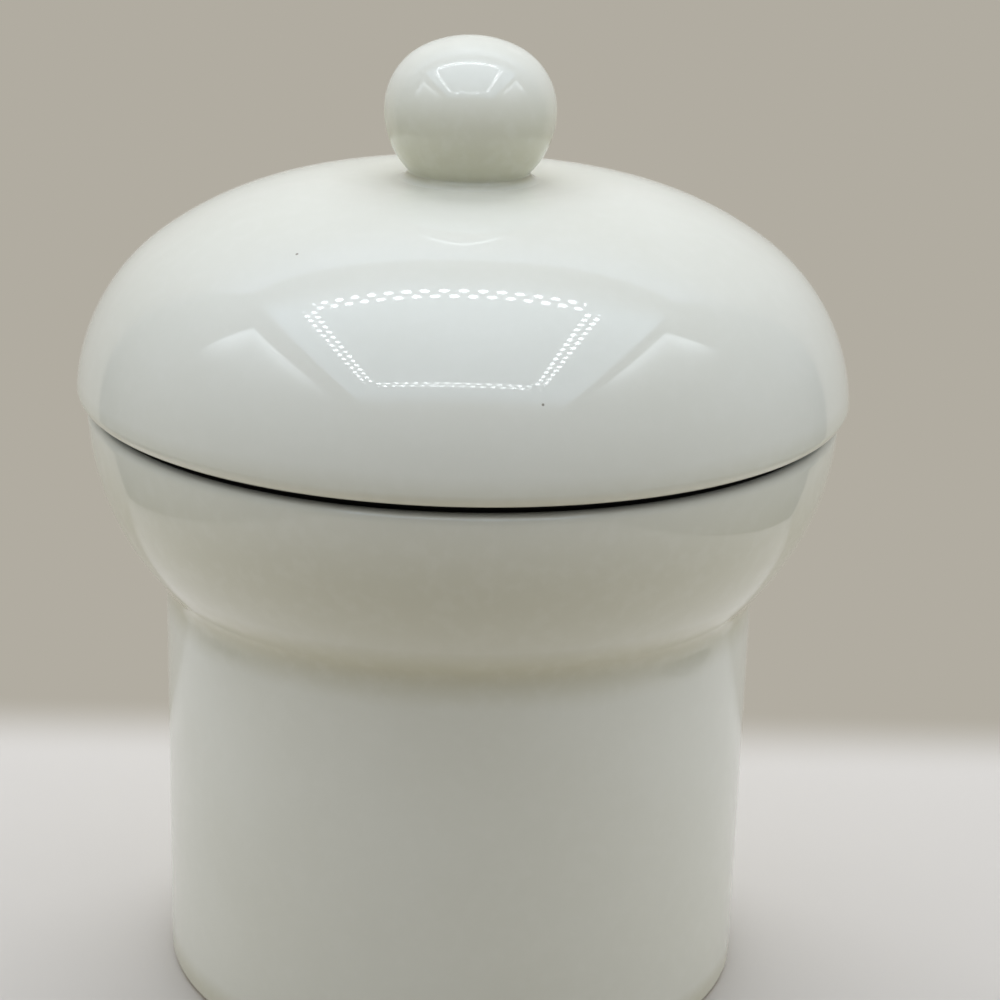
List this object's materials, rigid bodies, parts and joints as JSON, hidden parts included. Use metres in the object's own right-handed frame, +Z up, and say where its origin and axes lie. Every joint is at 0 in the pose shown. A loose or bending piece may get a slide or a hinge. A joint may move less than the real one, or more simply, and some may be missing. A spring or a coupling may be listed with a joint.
{
  "type": "garlic keeper",
  "caption": "Round glazed earthenware keeper for garlic: a straight jar that flares into a wide collar, with a domed lift-off lid and a ball knob on top.",
  "frame": {"origin": "middle of the foot, on the surface the keeper stands on", "axes": "+Z up along the axis that the jar, lid and knob are round about; +X to the right and +Y away in the pictured view"},
  "size_m": [0.127, 0.1269, 0.1584],
  "materials": {
    "jar_glaze": "gloss",
    "lid_glaze": "gloss",
    "knob_glaze": "gloss"
  },
  "bodies": {
    "jar": {"jar": "jar_glaze"},
    "lid": {"lid": "lid_glaze", "knob": "knob_glaze"}
  },
  "joints": [
    {"name": "lid_lift", "type": "slide", "parent": "jar", "child": "lid", "axis": [0, 0, 1], "range_m": [0, 0.06]}
  ]
}
